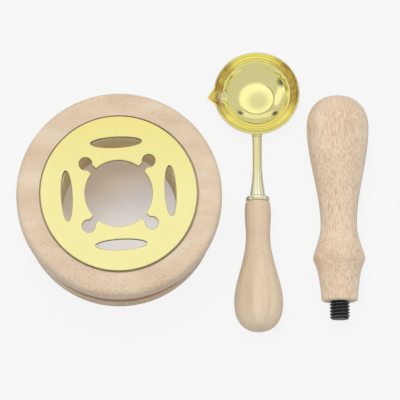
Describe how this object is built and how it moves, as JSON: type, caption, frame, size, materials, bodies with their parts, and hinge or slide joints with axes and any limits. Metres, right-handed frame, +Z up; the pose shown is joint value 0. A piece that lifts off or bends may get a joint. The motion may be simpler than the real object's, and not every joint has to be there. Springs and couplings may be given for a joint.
{
  "type": "wax seal set",
  "caption": "Wax seal set laid out: a turned wooden melting stove with a loose brass plate, a melting spoon with a pouring lip and a stamp handle with a threaded stud.",
  "frame": {"origin": "on the table, on the axis of the stove's bore", "axes": "+Z up along the stove's axis, +X across the set from the stove to the spoon and the stamp handle, +Y towards the spoon's bowl"},
  "size_m": [0.1373, 0.1117, 0.0405],
  "materials": {
    "stove_wood": "pale turned beech, sanded, with short dark flecks",
    "brass_plate": "satin stamped brass sheet",
    "gold_bowl": "polished gold coloured plating",
    "gold_stem": "polished pale gold plating",
    "spoon_wood": "smooth pale turned beech",
    "stamp_wood": "turned beech with dark flecks along the grain",
    "black_steel": "black oxide steel thread"
  },
  "bodies": {
    "stove": {"stove_body": "stove_wood"},
    "plate": {"stove_plate": "brass_plate"},
    "spoon": {"spoon_bowl": "gold_bowl", "spoon_stem": "gold_stem", "spoon_handle": "spoon_wood"},
    "stamp": {"stamp_handle": "stamp_wood", "stamp_stud": "black_steel"}
  },
  "joints": [
    {"name": "plate_lift", "type": "slide", "parent": "stove", "child": "plate", "axis": [0, 0, 1], "range_m": [0, 0.06]},
    {"name": "spoon_lift", "type": "slide", "parent": "stove", "child": "spoon", "axis": [0, 0, 1], "range_m": [0, 0.06]},
    {"name": "stamp_lift", "type": "slide", "parent": "stove", "child": "stamp", "axis": [0, 0, 1], "range_m": [0, 0.06]}
  ]
}
